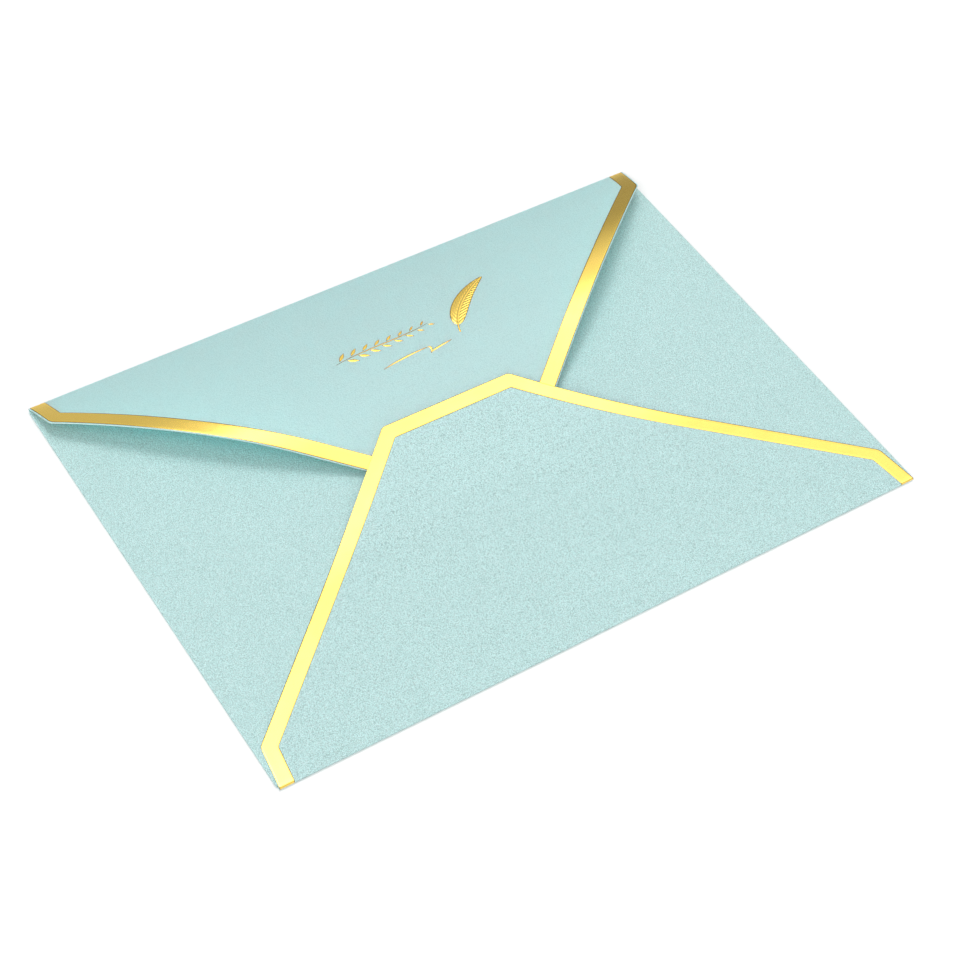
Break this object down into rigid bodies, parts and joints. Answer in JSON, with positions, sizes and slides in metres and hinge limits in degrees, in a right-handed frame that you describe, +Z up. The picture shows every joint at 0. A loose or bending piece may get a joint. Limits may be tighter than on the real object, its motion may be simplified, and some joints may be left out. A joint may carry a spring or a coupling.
{
  "type": "paper envelope",
  "caption": "Landscape gift envelope folded from a sheet of pearl paper; glued side and bottom flaps, a bowed top flap tucked under the bottom flap, gold foil bands and a foil feather.",
  "frame": {"origin": "centre of the underside of the front panel, which the envelope lies on, at the height of the surface under it", "axes": "+X along the long folds, +Y towards the top flap's fold, +Z up, out of the envelope's back"},
  "size_m": [0.175, 0.125, 0.0075],
  "materials": {
    "pearl_paper": "pearl satin",
    "gold_foil": "mirror foil"
  },
  "bodies": {
    "root": {"paper_sheet": "pearl_paper", "bottom_flap_foil": "gold_foil", "top_flap_foil": "gold_foil", "feather_foil": "gold_foil", "pen_stroke_foil": "gold_foil", "sprig_foil": "gold_foil"}
  },
  "joints": []
}
